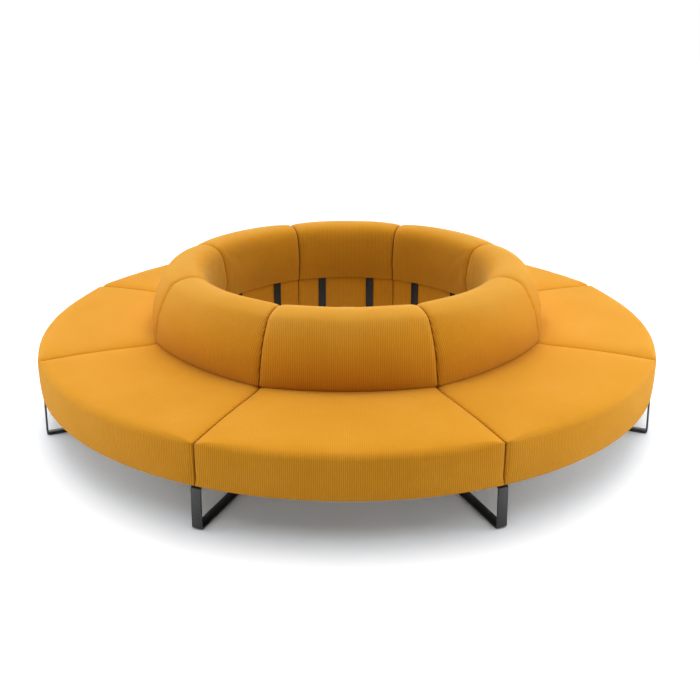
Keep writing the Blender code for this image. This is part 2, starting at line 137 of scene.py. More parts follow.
def make_button_screw(radius, height):
    """A button head with a hex socket, hanging down from zero."""
    bpy.ops.object.select_all(action="DESELECT")
    middle = (0, 0, -height / 2)
    bpy.ops.mesh.primitive_cylinder_add(vertices=24, radius=radius, depth=height, location=middle)
    screw = settled(bpy.context.object)
    bpy.ops.object.mode_set(mode="EDIT")
    select_parts(screw, "EDGE", lambda edge: all(vert.co.z < middle[2] for vert in edge.verts))
    bpy.ops.mesh.bevel(offset=height * SCREW_DOME, segments=4, affect="EDGES")
    bpy.ops.object.mode_set(mode="OBJECT")
    bpy.ops.object.select_all(action="DESELECT")
    bpy.ops.mesh.primitive_cylinder_add(
        vertices=6, radius=radius * SCREW_SOCKET, depth=height, location=(0, 0, -height)
    )
    socket = settled(bpy.context.object)
    with_modifier(screw, "BOOLEAN", operation="DIFFERENCE", solver="EXACT", object=socket)
    bpy.data.objects.remove(socket)
    return screw


def make_weld():
    """A rippled weld bead along Y."""
    bpy.ops.object.select_all(action="DESELECT")
    bpy.ops.mesh.primitive_cylinder_add(
        vertices=10, radius=WELD_RADIUS, depth=WELD_LENGTH, rotation=(math.pi / 2, 0, 0)
    )
    bead = settled(bpy.context.object)
    bpy.ops.object.mode_set(mode="EDIT")

    def lies_along(edge):
        start, end = (vert.co for vert in edge.verts)
        return abs(start.y - end.y) > WELD_LENGTH / 2

    select_parts(bead, "EDGE", lies_along)
    bpy.ops.mesh.subdivide(number_cuts=WELD_RIPPLES - 1)
    bpy.ops.object.mode_set(mode="OBJECT")
    for vert in bead.data.vertices:
        step = round((vert.co.y / WELD_LENGTH + 0.5) * WELD_RIPPLES)
        swell = 1.0 if step % 2 else WELD_HOLLOW
        if step in (0, WELD_RIPPLES):
            swell = WELD_END
        vert.co.x *= swell
        vert.co.z *= swell
    return bead


def make_bar_loop():
    """A plane, inset to the bar's thickness, drawn out to its width and bent at its corners."""
    length = LEG_OUTER_FACE - LEG_INNER_FACE
    middle = (LEG_OUTER_FACE + LEG_INNER_FACE) / 2
    bpy.ops.object.select_all(action="DESELECT")
    bpy.ops.mesh.primitive_plane_add(size=1, location=(-LEG_WIDTH / 2, -middle, LEG_TOP / 2))
    leg = bpy.context.object
    leg.rotation_euler = (math.pi / 2, 0, math.pi / 2)
    leg.scale = (length, LEG_TOP, 1)
    settled(leg)
    bpy.ops.object.mode_set(mode="EDIT")
    bpy.ops.mesh.select_mode(type="FACE")
    bpy.ops.mesh.select_all(action="SELECT")
    bpy.ops.mesh.inset(thickness=LEG_THICKNESS)
    bpy.ops.mesh.delete(type="FACE")
    bpy.ops.mesh.select_all(action="SELECT")
    bpy.ops.mesh.extrude_region_move(TRANSFORM_OT_translate={"value": (LEG_WIDTH, 0, 0)})
    for bend, inset in ((LEG_BEND + LEG_THICKNESS, 0), (LEG_BEND, LEG_THICKNESS)):
        reach = length / 2 - inset

        def at_corner(edge):
            start, end = (vert.co for vert in edge.verts)
            across = abs(start.x - end.x) > LEG_WIDTH / 2
            return across and abs(abs(start.y + middle) - reach) < LEG_THICKNESS / 4

        select_parts(leg, "EDGE", at_corner)
        bpy.ops.mesh.bevel(offset=bend, segments=LEG_BEND_STEPS, affect="EDGES")
    bpy.ops.mesh.select_all(action="SELECT")
    bpy.ops.mesh.normals_make_consistent(inside=False)
    bpy.ops.object.mode_set(mode="OBJECT")
    return with_modifier(leg, "BEVEL", width=EASED_EDGE, segments=2, limit_method="ANGLE")


def make_leg():
    """The bar loop with its two plates, their weld beads and the heads of the leg screws."""
    leg = make_bar_loop()
    pieces = [leg]
    screw = make_button_screw(*LEG_SCREW_HEAD)
    weld = make_weld()
    plate_underside = PLATE_MIDDLE - PLATE_SIZE[2] / 2
    bead_height = plate_underside - WELD_RADIUS / 5
    for radius in PLATE_RADII:
        bpy.ops.object.select_all(action="DESELECT")
        plate_place = (0, -radius, PLATE_MIDDLE)
        bpy.ops.mesh.primitive_cube_add(size=1, location=plate_place, scale=PLATE_SIZE)
        plate = settled(bpy.context.object)
        with_modifier(plate, "BEVEL", width=EASED_EDGE, segments=2)
        pieces.append(plate)
        for side in (-1, 1):
            screw_place = (side * LEG_SCREW_OFFSET, -radius, plate_underside)
            bead_place = (side * LEG_WIDTH / 2, -radius, bead_height)
            for pattern, place in ((screw, screw_place), (weld, bead_place)):
                pieces.append(turned_copy(pattern, "fitting"))
                pieces[-1].data.transform(Matrix.Translation(place))
    bpy.data.objects.remove(screw)
    bpy.data.objects.remove(weld)
    joined(*pieces)
    bpy.ops.object.shade_smooth_by_angle(angle=SMOOTH_STEEL)
    return leg


def add_node(tree, kind, **settings):
    """A shader node with its properties set."""
    node = tree.nodes.new(kind)
    for name, value in settings.items():
        setattr(node, name, value)
    return node


def parts_of(tree, vector):
    """The three parts of a vector."""
    node = add_node(tree, "ShaderNodeSeparateXYZ")
    tree.links.new(vector, node.inputs[0])
    return node.outputs


def true_normal(tree):
    """The three parts of the face's own normal."""
    return parts_of(tree, add_node(tree, "ShaderNodeNewGeometry").outputs["True Normal"])


def worked(tree, operation, *values, clamp=False):
    """The result of one sum, worked on values that are each a socket or a number."""
    node = add_node(tree, "ShaderNodeMath", operation=operation, use_clamp=clamp)
    for socket, value in zip(node.inputs, values):
        if isinstance(value, (int, float)):
            socket.default_value = value
        else:
            tree.links.new(value, socket)
    return node.outputs[0]


def blended(tree, share, first, second):
    """Two colours mixed by a share, each a socket or a colour."""
    node = add_node(tree, "ShaderNodeMix", data_type="RGBA")
    sockets = (node.inputs[0], node.inputs[6], node.inputs[7])
    for socket, value in zip(sockets, (share, first, second)):
        if isinstance(value, (int, float)):
            socket.default_value = value
        elif isinstance(value, tuple):
            socket.default_value = (*value, 1)
        else:
            tree.links.new(value, socket)
    return node.outputs[2]


def new_group(name, inputs, outputs):
    """A node group that takes a vector and named numbers and gives named values, with its two
    end nodes beside it."""
    group = bpy.data.node_groups.new(name, "ShaderNodeTree")
    group.interface.new_socket("Vector", in_out="INPUT", socket_type="NodeSocketVector")
    for socket_name in inputs:
        group.interface.new_socket(socket_name, in_out="INPUT", socket_type="NodeSocketFloat")
    for socket_name in outputs:
        group.interface.new_socket(socket_name, in_out="OUTPUT", socket_type="NodeSocketFloat")
    return group, group.nodes.new("NodeGroupInput"), group.nodes.new("NodeGroupOutput")


def make_grain_group():
    """Fine grain and slow clouds, for paint, wood, cloth and lining."""
    group, start, end = new_group(
        "grain_and_cloud", ("Grain Scale", "Cloud Scale"), ("Grain", "Cloud")
    )
    for index, detail in ((0, 2.0), (1, 4.0)):
        noise = add_node(group, "ShaderNodeTexNoise")
        noise.inputs["Detail"].default_value = detail
        group.links.new(start.outputs[0], noise.inputs["Vector"])
        group.links.new(start.outputs[index + 1], noise.inputs["Scale"])
        group.links.new(noise.outputs["Fac"], end.inputs[index])
    return group


def place_group(tree, group, vector, *numbers):
    """The group in a material, fed a vector and its own numbers in their order."""
    node = add_node(tree, "ShaderNodeGroup", node_tree=group)
    tree.links.new(vector, node.inputs["Vector"])
    for socket, value in zip(node.inputs[1:], numbers):
        socket.default_value = value
    return node


def new_material(name, **shader_inputs):
    """A material and its Principled shader, with the constant inputs set on it."""
    material = bpy.data.materials.new(name)
    material.use_nodes = True
    shader = material.node_tree.nodes["Principled BSDF"]
    for socket_name, value in shader_inputs.items():
        shader.inputs[socket_name.replace("_", " ")].default_value = value
    return material, material.node_tree, shader


def bumped(tree, shader, height, strength, distance):
    """Makes a height felt in the shader's normal."""
    bump = add_node(tree, "ShaderNodeBump")
    bump.inputs["Strength"].default_value = strength
    bump.inputs["Distance"].default_value = distance
    tree.links.new(height, bump.inputs["Height"])
    tree.links.new(bump.outputs["Normal"], shader.inputs["Normal"])


def make_powder_coat(name, gloss):
    """Black powder coat: orange peel, paler rubbed edges and a little dust low down."""
    material, tree, shader = new_material(name, Specular_IOR_Level=gloss)
    place = add_node(tree, "ShaderNodeTexCoord")
    grain = place_group(tree, grain_group, place.outputs["Object"], *COAT_SCALES)
    cloud = grain.outputs["Cloud"]
    edge = add_node(tree, "ShaderNodeNewGeometry").outputs["Pointiness"]
    sharp_from, gain = COAT_RUB
    rubbed = worked(tree, "SUBTRACT", edge, sharp_from)
    rubbed = worked(tree, "MULTIPLY", rubbed, gain, clamp=True)
    rubbed = worked(tree, "MULTIPLY", rubbed, cloud)
    height = parts_of(tree, place.outputs["Object"])[2]
    fall, share = COAT_DUST
    low = worked(tree, "SUBTRACT", 1.0, worked(tree, "MULTIPLY", height, fall), clamp=True)
    dust = worked(tree, "MULTIPLY", worked(tree, "MULTIPLY", low, cloud), share)
    colour = blended(tree, rubbed, COAT_BLACK, COAT_RUBBED)
    colour = blended(tree, dust, colour, COAT_DUSTY)
    tree.links.new(colour, shader.inputs["Base Color"])
    rough = worked(tree, "MULTIPLY_ADD", cloud, COAT_ROUGHNESS / 2, COAT_ROUGHNESS)
    tree.links.new(rough, shader.inputs["Roughness"])
    bumped(tree, shader, grain.outputs["Grain"], *COAT_RELIEF)
    return material


grain_group = make_grain_group()
leg_pattern = make_leg()
leg_pattern.data.materials.clear()
leg_pattern.data.materials.append(make_powder_coat("satin_black_coat", COAT_SATIN))
leg_pattern.data.materials.append(make_powder_coat("scuffed_black_coat", COAT_SCUFFED))
for face in leg_pattern.data.polygons:
    if face.normal.z > UPWARD:
        face.material_index = 1
for number in range(1, MODULES + 1):
    leg = turned_copy(leg_pattern, f"sled_leg_{number}", (number - 0.5) * MODULE_ANGLE)
    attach(leg, "root")
    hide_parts(f"leg_{number}")
bpy.data.objects.remove(leg_pattern)

# Seat bases and back boards: whitened birch plywood, 18 mm thick. The base is cut to the module's
# plan and the board pressed to its curve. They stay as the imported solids. The base shows from
# below, where its long grain runs across its own module.
PLY_PALE = (0.72, 0.69, 0.64)
PLY_DARK = (0.55, 0.51, 0.45)
PLY_FIGURE = (14.0, 1.6, 14.0)
PLY_SCALES = (9.0, 0.9)
PLY_GRAIN_SHARE = 0.55
PLY_RELIEF = (0.10, 0.0006)
PLY_VENEER = 0.0014
GLUE_LINE = 0.0001
GLUE_BROWN = (0.16, 0.09, 0.04)


def make_plywood(number, angle):
    """Birch veneer whose grain follows one module, with glue lines in its cut edges."""
    material, tree, shader = new_material(f"birch_plywood_{number}", Roughness=0.62)
    place = add_node(tree, "ShaderNodeTexCoord")
    turn = add_node(tree, "ShaderNodeMapping", vector_type="TEXTURE")
    turn.inputs["Rotation"].default_value = (0, 0, angle)
    tree.links.new(place.outputs["Object"], turn.inputs["Vector"])
    stretch = add_node(tree, "ShaderNodeMapping")
    stretch.inputs["Scale"].default_value = PLY_FIGURE
    tree.links.new(turn.outputs["Vector"], stretch.inputs["Vector"])
    grain = place_group(tree, grain_group, stretch.outputs["Vector"], *PLY_SCALES)
    height = parts_of(tree, place.outputs["Object"])[2]
    glue = worked(tree, "LESS_THAN", worked(tree, "PINGPONG", height, PLY_VENEER), GLUE_LINE)
    cloud = worked(tree, "MULTIPLY", grain.outputs["Cloud"], 1 - PLY_GRAIN_SHARE)
    figure = worked(tree, "MULTIPLY_ADD", grain.outputs["Grain"], PLY_GRAIN_SHARE, cloud)
    colour = blended(tree, figure, PLY_DARK, PLY_PALE)
    side = worked(tree, "LESS_THAN", worked(tree, "ABSOLUTE", true_normal(tree)[2]), 0.5)
    colour = blended(tree, worked(tree, "MULTIPLY", glue, side), colour, GLUE_BROWN)
    tree.links.new(colour, shader.inputs["Base Color"])
    bumped(tree, shader, grain.outputs["Grain"], *PLY_RELIEF)
    return material


for number in range(1, MODULES + 1):
    plywood = make_plywood(number, (number - 1) * MODULE_ANGLE)
    for node_name in (f"seat_base_{number}", f"back_board_{number}"):
        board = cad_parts[node_name]
        for slot in board.material_slots:
            slot.material = plywood

# Back supports: two 45 x 6 mm flat steel bars per module, bent under the seat, where two screws
# hold their feet to the base, and standing up its inner wall into the back cushion, where one
# screw holds them to the back board. Black powder coat, more matt than the legs'.
SUPPORT_WIDTH = 0.045
SUPPORT_THICKNESS = 0.006
SUPPORT_INNER_FACE = 0.7546
SUPPORT_TOP = 0.564
FOOT_TOP = 0.1947
SUPPORT_BEND = 0.004
SUPPORT_BEND_STEPS = 8
FOOT_END = 0.864
FOOT_SCREW_RADII = (0.804, 0.844)
SUPPORT_SCREW_HEAD = (0.0065, 0.003)
SUPPORT_ANGLE = math.radians(11.25)
COAT_MATT = 0.27


def make_support():
    """The bar's upper end drawn down the wall, turned through the bend and out along the foot."""
    outer_bend = SUPPORT_BEND + SUPPORT_THICKNESS
    bend_height = FOOT_TOP + SUPPORT_BEND
    bpy.ops.object.select_all(action="DESELECT")
    bar_middle = SUPPORT_INNER_FACE + SUPPORT_THICKNESS / 2
    bpy.ops.mesh.primitive_plane_add(size=1, location=(0, -bar_middle, SUPPORT_TOP))
    bar = bpy.context.object
    bar.scale = (SUPPORT_WIDTH, SUPPORT_THICKNESS, 1)
    settled(bar)
    bpy.ops.object.mode_set(mode="EDIT")
    bpy.ops.mesh.select_mode(type="FACE")
    bpy.ops.mesh.select_all(action="SELECT")
    drop = bend_height - SUPPORT_TOP
    bpy.ops.mesh.extrude_region_move(TRANSFORM_OT_translate={"value": (0, 0, drop)})
    bpy.ops.mesh.spin(
        steps=SUPPORT_BEND_STEPS,
        angle=math.pi / 2,
        center=(0, -SUPPORT_INNER_FACE - outer_bend, bend_height),
        axis=(1, 0, 0),
    )
    reach = FOOT_END - SUPPORT_INNER_FACE - outer_bend
    bpy.ops.mesh.extrude_region_move(TRANSFORM_OT_translate={"value": (0, -reach, 0)})
    bpy.ops.mesh.select_all(action="SELECT")
    bpy.ops.mesh.remove_doubles(threshold=0.00001)
    bpy.ops.mesh.normals_make_consistent(inside=False)
    bpy.ops.object.mode_set(mode="OBJECT")
    with_modifier(
        bar,
        "BEVEL",
        width=EASED_EDGE,
        segments=2,
        limit_method="ANGLE",
        angle_limit=math.radians(50),
    )
    screw = make_button_screw(*SUPPORT_SCREW_HEAD)
    heads = []
    for radius in FOOT_SCREW_RADII:
        head = turned_copy(screw, "head")
        head.data.transform(Matrix.Translation((0, -radius, FOOT_TOP - SUPPORT_THICKNESS)))
        heads.append(head)
    bpy.data.objects.remove(screw)
    joined(bar, *heads)
    bpy.ops.object.shade_smooth_by_angle(angle=SMOOTH_STEEL)
    return bar


support_pattern = make_support()
support_pattern.data.materials.clear()
support_pattern.data.materials.append(make_powder_coat("matt_black_coat", COAT_MATT))
for number in range(1, MODULES + 1):
    for side, word in ((-1, "left"), (1, "right")):
        angle = (number - 1) * MODULE_ANGLE + side * SUPPORT_ANGLE
        support = turned_copy(support_pattern, f"support_bar_{number}_{word}", angle)
        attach(support, "root")
        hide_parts(f"back_support_{number}_{word}")
bpy.data.objects.remove(support_pattern)

# Seat bodies: firm foam in a fitted cover of ribbed wool cloth, sewn with a plain seam just
# inside each end, drawn tight under the base and closed there with a pale lining. The top is
# lightly crowned, the rim rolls over into a nearly upright wall and the lower edge is crisp.
HALF_ANGLE = MODULE_ANGLE / 2
HALF_GAP = 0.001
SEAT_OUTER = 1.613
SEAT_INNER = 0.762
SEAT_TOP = 0.394
SEAT_UNDERSIDE = 0.195
SEAT_FRONT_OF_BACK = 1.050
SEAT_RIM_ROUND = 0.034
SEAT_RIM_TIGHTENING = 0.7
SEAT_END_ROLL = (0.044, 0.0085)
SEAT_SHOULDER = (0.130, 0.0050)
SEAT_CROWN = 0.007
SEAT_WALL_DRAW = 0.007
SEAT_SEAM_DIP = 0.006
SEAT_FILL_CAP = 0.005
SEAT_LOWER_ROUND = 0.004
SEAT_INNER_ROUND = 0.012
SEAT_MIDDLE_RINGS = 27
SEAT_ROLL_RISE = 0.035
ROLL_UNDER_BACK = 0.45
SEAT_DIP_RISE = 0.09
SEAT_DIP_REACH = 0.05
BASE_RECESS = (0.7825, 1.5836, 0.2134)
BASE_RECESS_SEAM = 0.0294
END_RINGS = (
    0.0, 0.0012, 0.0028, 0.0048, 0.0072, 0.0096, 0.0111, 0.0125,
    0.0139, 0.0156, 0.0205, 0.027, 0.037, 0.055, 0.082,
)
END_EDGE_ROUND = 0.010
SEAM_GROOVE = (0.0125, 0.0012, 0.0007)
FILL_EDGE = 0.034
HELD_MARGIN = 0.012
FILL_PRESSURE = 4
FILL_FRAMES = 20
SMOOTH_CLOTH = math.radians(50)


def arc(centre, radius, start, end, steps):
    """Points on an arc, with its ends in degrees and its first point left out."""
    angles = [math.radians(start + (end - start) * step / steps) for step in range(1, steps + 1)]
    return [(centre[0] + radius * math.cos(a), centre[1] + radius * math.sin(a)) for a in angles]


def line(start, end, steps):
    """Evenly spaced points on a line, with its first point left out."""
    shares = [step / steps for step in range(1, steps + 1)]
    (ra, za), (rb, zb) = start, end
    return [(ra + (rb - ra) * share, za + (zb - za) * share) for share in shares]


def seat_outline():
    """The seat's section as radius and height, up the outer wall and round to the underside."""
    corner = SEAT_OUTER - SEAT_WALL_DRAW - SEAT_LOWER_ROUND
    rim_centre = (SEAT_OUTER - SEAT_RIM_ROUND, SEAT_TOP - SEAT_RIM_ROUND)
    points = arc((corner, SEAT_UNDERSIDE + SEAT_LOWER_ROUND), SEAT_LOWER_ROUND, -90, -10, 3)
    wall_steps = 10
    for step in range(1, wall_steps):
        share = step / wall_steps
        radius = SEAT_OUTER - SEAT_WALL_DRAW * (1 - share) ** 2
        points.append((radius, SEAT_UNDERSIDE + (rim_centre[1] - SEAT_UNDERSIDE) * share))
    points += arc(rim_centre, SEAT_RIM_ROUND, -6, 90, 11)
    top_steps = 24
    for step in range(1, top_steps):
        share = step / top_steps
        radius = rim_centre[0] + (SEAT_FRONT_OF_BACK - rim_centre[0]) * share
        points.append((radius, SEAT_TOP + SEAT_CROWN * 4 * share * (1 - share)))
    inner_top = (SEAT_INNER + SEAT_INNER_ROUND, SEAT_TOP)
    points.append((SEAT_FRONT_OF_BACK, SEAT_TOP))
    points += line((SEAT_FRONT_OF_BACK, SEAT_TOP), inner_top, 9)
    points += arc((inner_top[0], SEAT_TOP - SEAT_INNER_ROUND), SEAT_INNER_ROUND, 90, 180, 4)
    lower = SEAT_UNDERSIDE + SEAT_LOWER_ROUND
    points += line((SEAT_INNER, SEAT_TOP - SEAT_INNER_ROUND), (SEAT_INNER, lower), 8)
    points += arc((SEAT_INNER + SEAT_LOWER_ROUND, lower), SEAT_LOWER_ROUND, 180, 270, 3)
    points += line((SEAT_INNER + SEAT_LOWER_ROUND, SEAT_UNDERSIDE), (corner, SEAT_UNDERSIDE), 20)
    return points


def ramp(value, start, length):
    """Nought up to the start, one from a length past it on, and even between them."""
    return min(1.0, max(0.0, (value - start) / length))


def seat_roll(radius, height):
    """How much of the end's rounding a point of the section takes: none below, all above, and
    less under the back."""
    share = ROLL_UNDER_BACK if radius <= SEAT_FRONT_OF_BACK - 0.03 else 1.0
    return ramp(height, SEAT_UNDERSIDE, SEAT_ROLL_RISE) * share


def seat_form(radius, height, place):
    """The open top and the rim dip towards the seams, where the rim's round gets tighter and its
    sloping shoulder runs out. Place is 0 at the module's middle and 1 at its seams."""
    rise = ramp(height, SEAT_TOP - SEAT_DIP_RISE, SEAT_DIP_RISE)
    reach = ramp(radius, SEAT_FRONT_OF_BACK, SEAT_DIP_REACH)
    dip = SEAT_SEAM_DIP * place**7 * reach * rise
    past = (radius - SEAT_OUTER) / SEAT_RIM_ROUND + 1
    above = (height - SEAT_TOP) / SEAT_RIM_ROUND + 1
    if past >= 0 and above >= 0:
        move = SEAT_RIM_ROUND * SEAT_RIM_TIGHTENING * place**5
        radius += move * (1 - past)
        height += move * max(0.0, 1 - above)
    width, depth = SEAT_SHOULDER
    slope = max(0.0, 1 - max(0.0, SEAT_OUTER - radius) / width) ** 2
    return radius, height - dip - depth * slope * rise * (1 - place**4)


def inward_directions(outline):
    """For each point of a closed section, the unit direction into it."""
    directions = []
    for index in range(len(outline)):
        (ra, za), (rb, zb) = outline[index - 1], outline[(index + 1) % len(outline)]
        size = math.hypot(rb - ra, zb - za)
        directions.append(((za - zb) / size, (rb - ra) / size))
    return directions


def end_sink(distance, end_roll):
    """How far a full point sinks at a distance from the seam: the end's roll, its eased edge and
    the groove that the thread pulls."""
    roll_width, roll_depth = end_roll
    groove, width, depth = SEAM_GROOVE
    sink = roll_depth * max(0.0, 1 - distance / roll_width) ** 2
    sink += END_EDGE_ROUND * (1 - math.sqrt(1 - max(0.0, 1 - distance / END_EDGE_ROUND) ** 2))
    return sink + depth * math.exp(-(((distance - groove) / width) ** 2))


def lay_cloth(piece, outline, sections):
    """Lays the cloth on a cushion: across it by the distance from the module's middle plane, and
    along it by the way round the section. Its closed ends take radius and height."""
    count = len(outline)
    girth = [0.0]
    for start, end in zip(outline, outline[1:]):
        girth.append(girth[-1] + math.dist(start, end))
    cloth_map = piece.data.uv_layers.new(name="cloth")
    for face in piece.data.polygons:
        at_end = face.loop_total > 4
        last_strip = not at_end and {0, count - 1} <= {sections[vertex] for vertex in face.vertices}
        for loop in face.loop_indices:
            vertex = piece.data.loops[loop].vertex_index
            point = piece.data.vertices[vertex].co
            along = girth[sections[vertex]]
            if last_strip and sections[vertex] == 0:
                along = girth[-1] + math.dist(outline[0], outline[-1])
            place = (math.hypot(point.x, point.y), point.z) if at_end else (point.x, along)
            cloth_map.data[loop].uv = place


def spun_section(name, outline, rings):
    """A section as a closed line at one seam, spun through the module in rings. Gives the piece
    and, for each of its points, the point of the section that it comes from."""
    bpy.ops.object.select_all(action="DESELECT")
    bpy.ops.mesh.primitive_circle_add(vertices=len(outline), radius=1, fill_type="NOTHING")
    piece = bpy.context.object
    piece.name = name
    marks = piece.data.attributes.new("section_index", "INT", "POINT")
    for index, vert in enumerate(piece.data.vertices):
        radius, height = outline[index]
        vert.co = (-radius * math.sin(HALF_ANGLE), -radius * math.cos(HALF_ANGLE), height)
        marks.data[index].value = index
    bpy.ops.object.mode_set(mode="EDIT")
    bpy.ops.mesh.select_all(action="SELECT")
    bpy.ops.mesh.spin(steps=rings - 1, angle=-MODULE_ANGLE, center=(0, 0, 0), axis=(0, 0, 1))
    bpy.ops.object.mode_set(mode="OBJECT")
    return piece, [mark.value for mark in piece.data.attributes["section_index"].data]


def make_sector(name, outline, roll, form, end_roll, middle_rings):
    """A cushion from its section: spun through one module, its rings drawn to their places, and
    its ends rounded off, with the seam's groove a little inside them, and closed."""
    rings = 2 * len(END_RINGS) + middle_rings
    piece, sections = spun_section(name, outline, rings)
    inward = inward_directions(outline)
    seam_distances = piece.data.attributes.new("seam_distance", "FLOAT", "POINT")
    ring_of = []
    for index, vert in enumerate(piece.data.vertices):
        share = (math.atan2(vert.co.x, -vert.co.y) + HALF_ANGLE) / MODULE_ANGLE
        ring = round(share * (rings - 1))
        side = -1 if ring < rings / 2 else 1
        near = min(ring, rings - 1 - ring)
        near_end = near < len(END_RINGS)
        section = sections[index]
        radius, height = outline[section]
        if near_end:
            distance = END_RINGS[near]
            angle = HALF_ANGLE - math.asin((HALF_GAP + distance) / radius)
        else:
            last = HALF_ANGLE - math.asin((HALF_GAP + END_RINGS[-1]) / radius)
            across = (ring - len(END_RINGS) + 1) / (middle_rings + 1) * 2 - 1
            angle = last * abs(across)
            distance = radius * math.sin(HALF_ANGLE - angle)
        radius, height = form(radius, height, angle / HALF_ANGLE)
        sink = end_sink(distance, end_roll) * roll(*outline[section])
        radius += inward[section][0] * sink
        height += inward[section][1] * sink
        if near_end:
            angle = HALF_ANGLE - math.asin((HALF_GAP + distance) / radius)
        vert.co = (side * radius * math.sin(angle), -radius * math.cos(angle), height)
        seam_distances.data[index].value = distance
        ring_of.append(ring)
    picked(piece)
    bpy.ops.object.mode_set(mode="EDIT")
    for end_ring in (0, rings - 1):
        ends = {index for index, ring in enumerate(ring_of) if ring == end_ring}
        select_parts(piece, "EDGE", lambda edge: all(vert.index in ends for vert in edge.verts))
        bpy.ops.mesh.edge_face_add()
    bpy.ops.mesh.select_all(action="SELECT")
    bpy.ops.mesh.normals_make_consistent(inside=False)
    bpy.ops.object.mode_set(mode="OBJECT")
    lay_cloth(piece, outline, sections)
    return piece


def fill_cover(piece, free, cap):
    """Blows the cover up a little over its foam: a short cloth run with pressure and no weight,
    in which only the free points move, and none further than the cap."""
    before = [vert.co.copy() for vert in piece.data.vertices]
    held = piece.vertex_groups.new(name="held")
    held.add([index for index, point in enumerate(before) if not free(point)], 1.0, "REPLACE")
    picked(piece)
    cloth = piece.modifiers.new("Cloth", "CLOTH")
    cloth.settings.vertex_group_mass = held.name
    cloth.settings.use_pressure = True
    cloth.settings.uniform_pressure_force = FILL_PRESSURE
    cloth.settings.effector_weights.gravity = 0
    cloth.settings.quality = 6
    scene = bpy.context.scene
    cloth.point_cache.frame_start = 1
    cloth.point_cache.frame_end = FILL_FRAMES
    for step in range(1, FILL_FRAMES + 1):
        scene.frame_set(step)
    bpy.ops.object.modifier_apply(modifier=cloth.name)
    scene.frame_set(1)
    for vert, start in zip(piece.data.vertices, before):
        move = vert.co - start
        if move.length > 0:
            move *= cap * (1 - math.exp(-move.length / cap)) / move.length
        vert.co = start + move
    piece.vertex_groups.clear()


YARN_WANDER = (22.0, 0.004)
RIB_FULLNESS = 0.7
STITCH_SLANT = 1.1
STITCH_RELIEF = 0.45
ODD_COLUMN_TONE = 0.95
ODD_ROW_TONE = 0.20
EVEN_TONE = -0.25
SLUB_SCALES = (7.31, 26.0)
SLUB_TONE = 1.3
FLECK_SCALE = 1500.0


def make_knit_group():
    """Ribbed wool cloth: columns of plump stitches side by side, every other column paler and
    every other row a little, with uneven yarn along each column. Distances are metres on the
    cloth."""
    outputs = ("Relief", "Yarn", "Fleck")
    group, start, end = new_group("ribbed_cloth", ("Rib Pitch", "Stitch Pitch"), outputs)
    place, rib_pitch, stitch_pitch = start.outputs[:3]
    across_cloth, along_cloth, _ = parts_of(group, place)
    wander = add_node(group, "ShaderNodeTexNoise")
    wander.inputs["Scale"].default_value = YARN_WANDER[0]
    group.links.new(place, wander.inputs["Vector"])
    drift = worked(group, "MULTIPLY_ADD", wander.outputs["Fac"], YARN_WANDER[1], across_cloth)
    columns = worked(group, "DIVIDE", drift, rib_pitch)
    column = worked(group, "FLOOR", columns)
    across = worked(group, "SUBTRACT", columns, column)
    from_middle = worked(group, "ABSOLUTE", worked(group, "SUBTRACT", across, 0.5))
    hump = worked(group, "SINE", worked(group, "MULTIPLY", across, math.pi))
    rib = worked(group, "POWER", hump, RIB_FULLNESS)
    rows = worked(group, "DIVIDE", along_cloth, stitch_pitch)
    slanted = worked(group, "ADD", rows, worked(group, "MULTIPLY", from_middle, STITCH_SLANT))
    slanted = worked(group, "MULTIPLY_ADD", column, 0.5, slanted)
    slanted = worked(group, "FRACT", slanted)
    stitch = worked(group, "SINE", worked(group, "MULTIPLY", slanted, math.pi))
    plump = worked(group, "MULTIPLY_ADD", stitch, STITCH_RELIEF, 1 - STITCH_RELIEF)
    lift = worked(group, "MULTIPLY", rib, plump)
    group.links.new(lift, end.inputs["Relief"])
    seed = add_node(group, "ShaderNodeCombineXYZ")
    group.links.new(worked(group, "MULTIPLY", column, SLUB_SCALES[0]), seed.inputs[0])
    group.links.new(worked(group, "MULTIPLY", along_cloth, SLUB_SCALES[1]), seed.inputs[1])
    slub = add_node(group, "ShaderNodeTexNoise")
    slub.inputs["Scale"].default_value = 1.0
    slub.inputs["Detail"].default_value = 2.0
    group.links.new(seed.outputs[0], slub.inputs["Vector"])
    odd_column = worked(group, "FLOORED_MODULO", column, 2.0)
    odd_row = worked(group, "FLOORED_MODULO", worked(group, "FLOOR", rows), 2.0)
    yarn = worked(group, "MULTIPLY", odd_row, ODD_ROW_TONE)
    yarn = worked(group, "MULTIPLY_ADD", odd_column, ODD_COLUMN_TONE, yarn)
    yarn = worked(group, "ADD", yarn, EVEN_TONE)
    uneven = worked(group, "SUBTRACT", slub.outputs["Fac"], 0.5)
    yarn = worked(group, "MULTIPLY_ADD", uneven, SLUB_TONE, yarn)
    group.links.new(yarn, end.inputs["Yarn"])
    fleck = add_node(group, "ShaderNodeTexNoise")
    fleck.inputs["Scale"].default_value = FLECK_SCALE
    fleck.inputs["Detail"].default_value = 1.0
    group.links.new(place, fleck.inputs["Vector"])
    group.links.new(fleck.outputs["Fac"], end.inputs["Fleck"])
    return group


# The deep colour is painted shade, for the grooves between the ribs.
CLOTH_RIB_SHADE = (0.345, 0.124, 0.0052)
CLOTH_MAIN = (0.790, 0.329, 0.0168)
CLOTH_PALE = (0.960, 0.418, 0.0285)
# The worn colour is for cloth worn even on upward faces. There it also stands in for the light from
# above, which leaves no shade between the ribs.
CLOTH_WORN_AND_TOP_LIT = (0.730, 0.307, 0.0160)
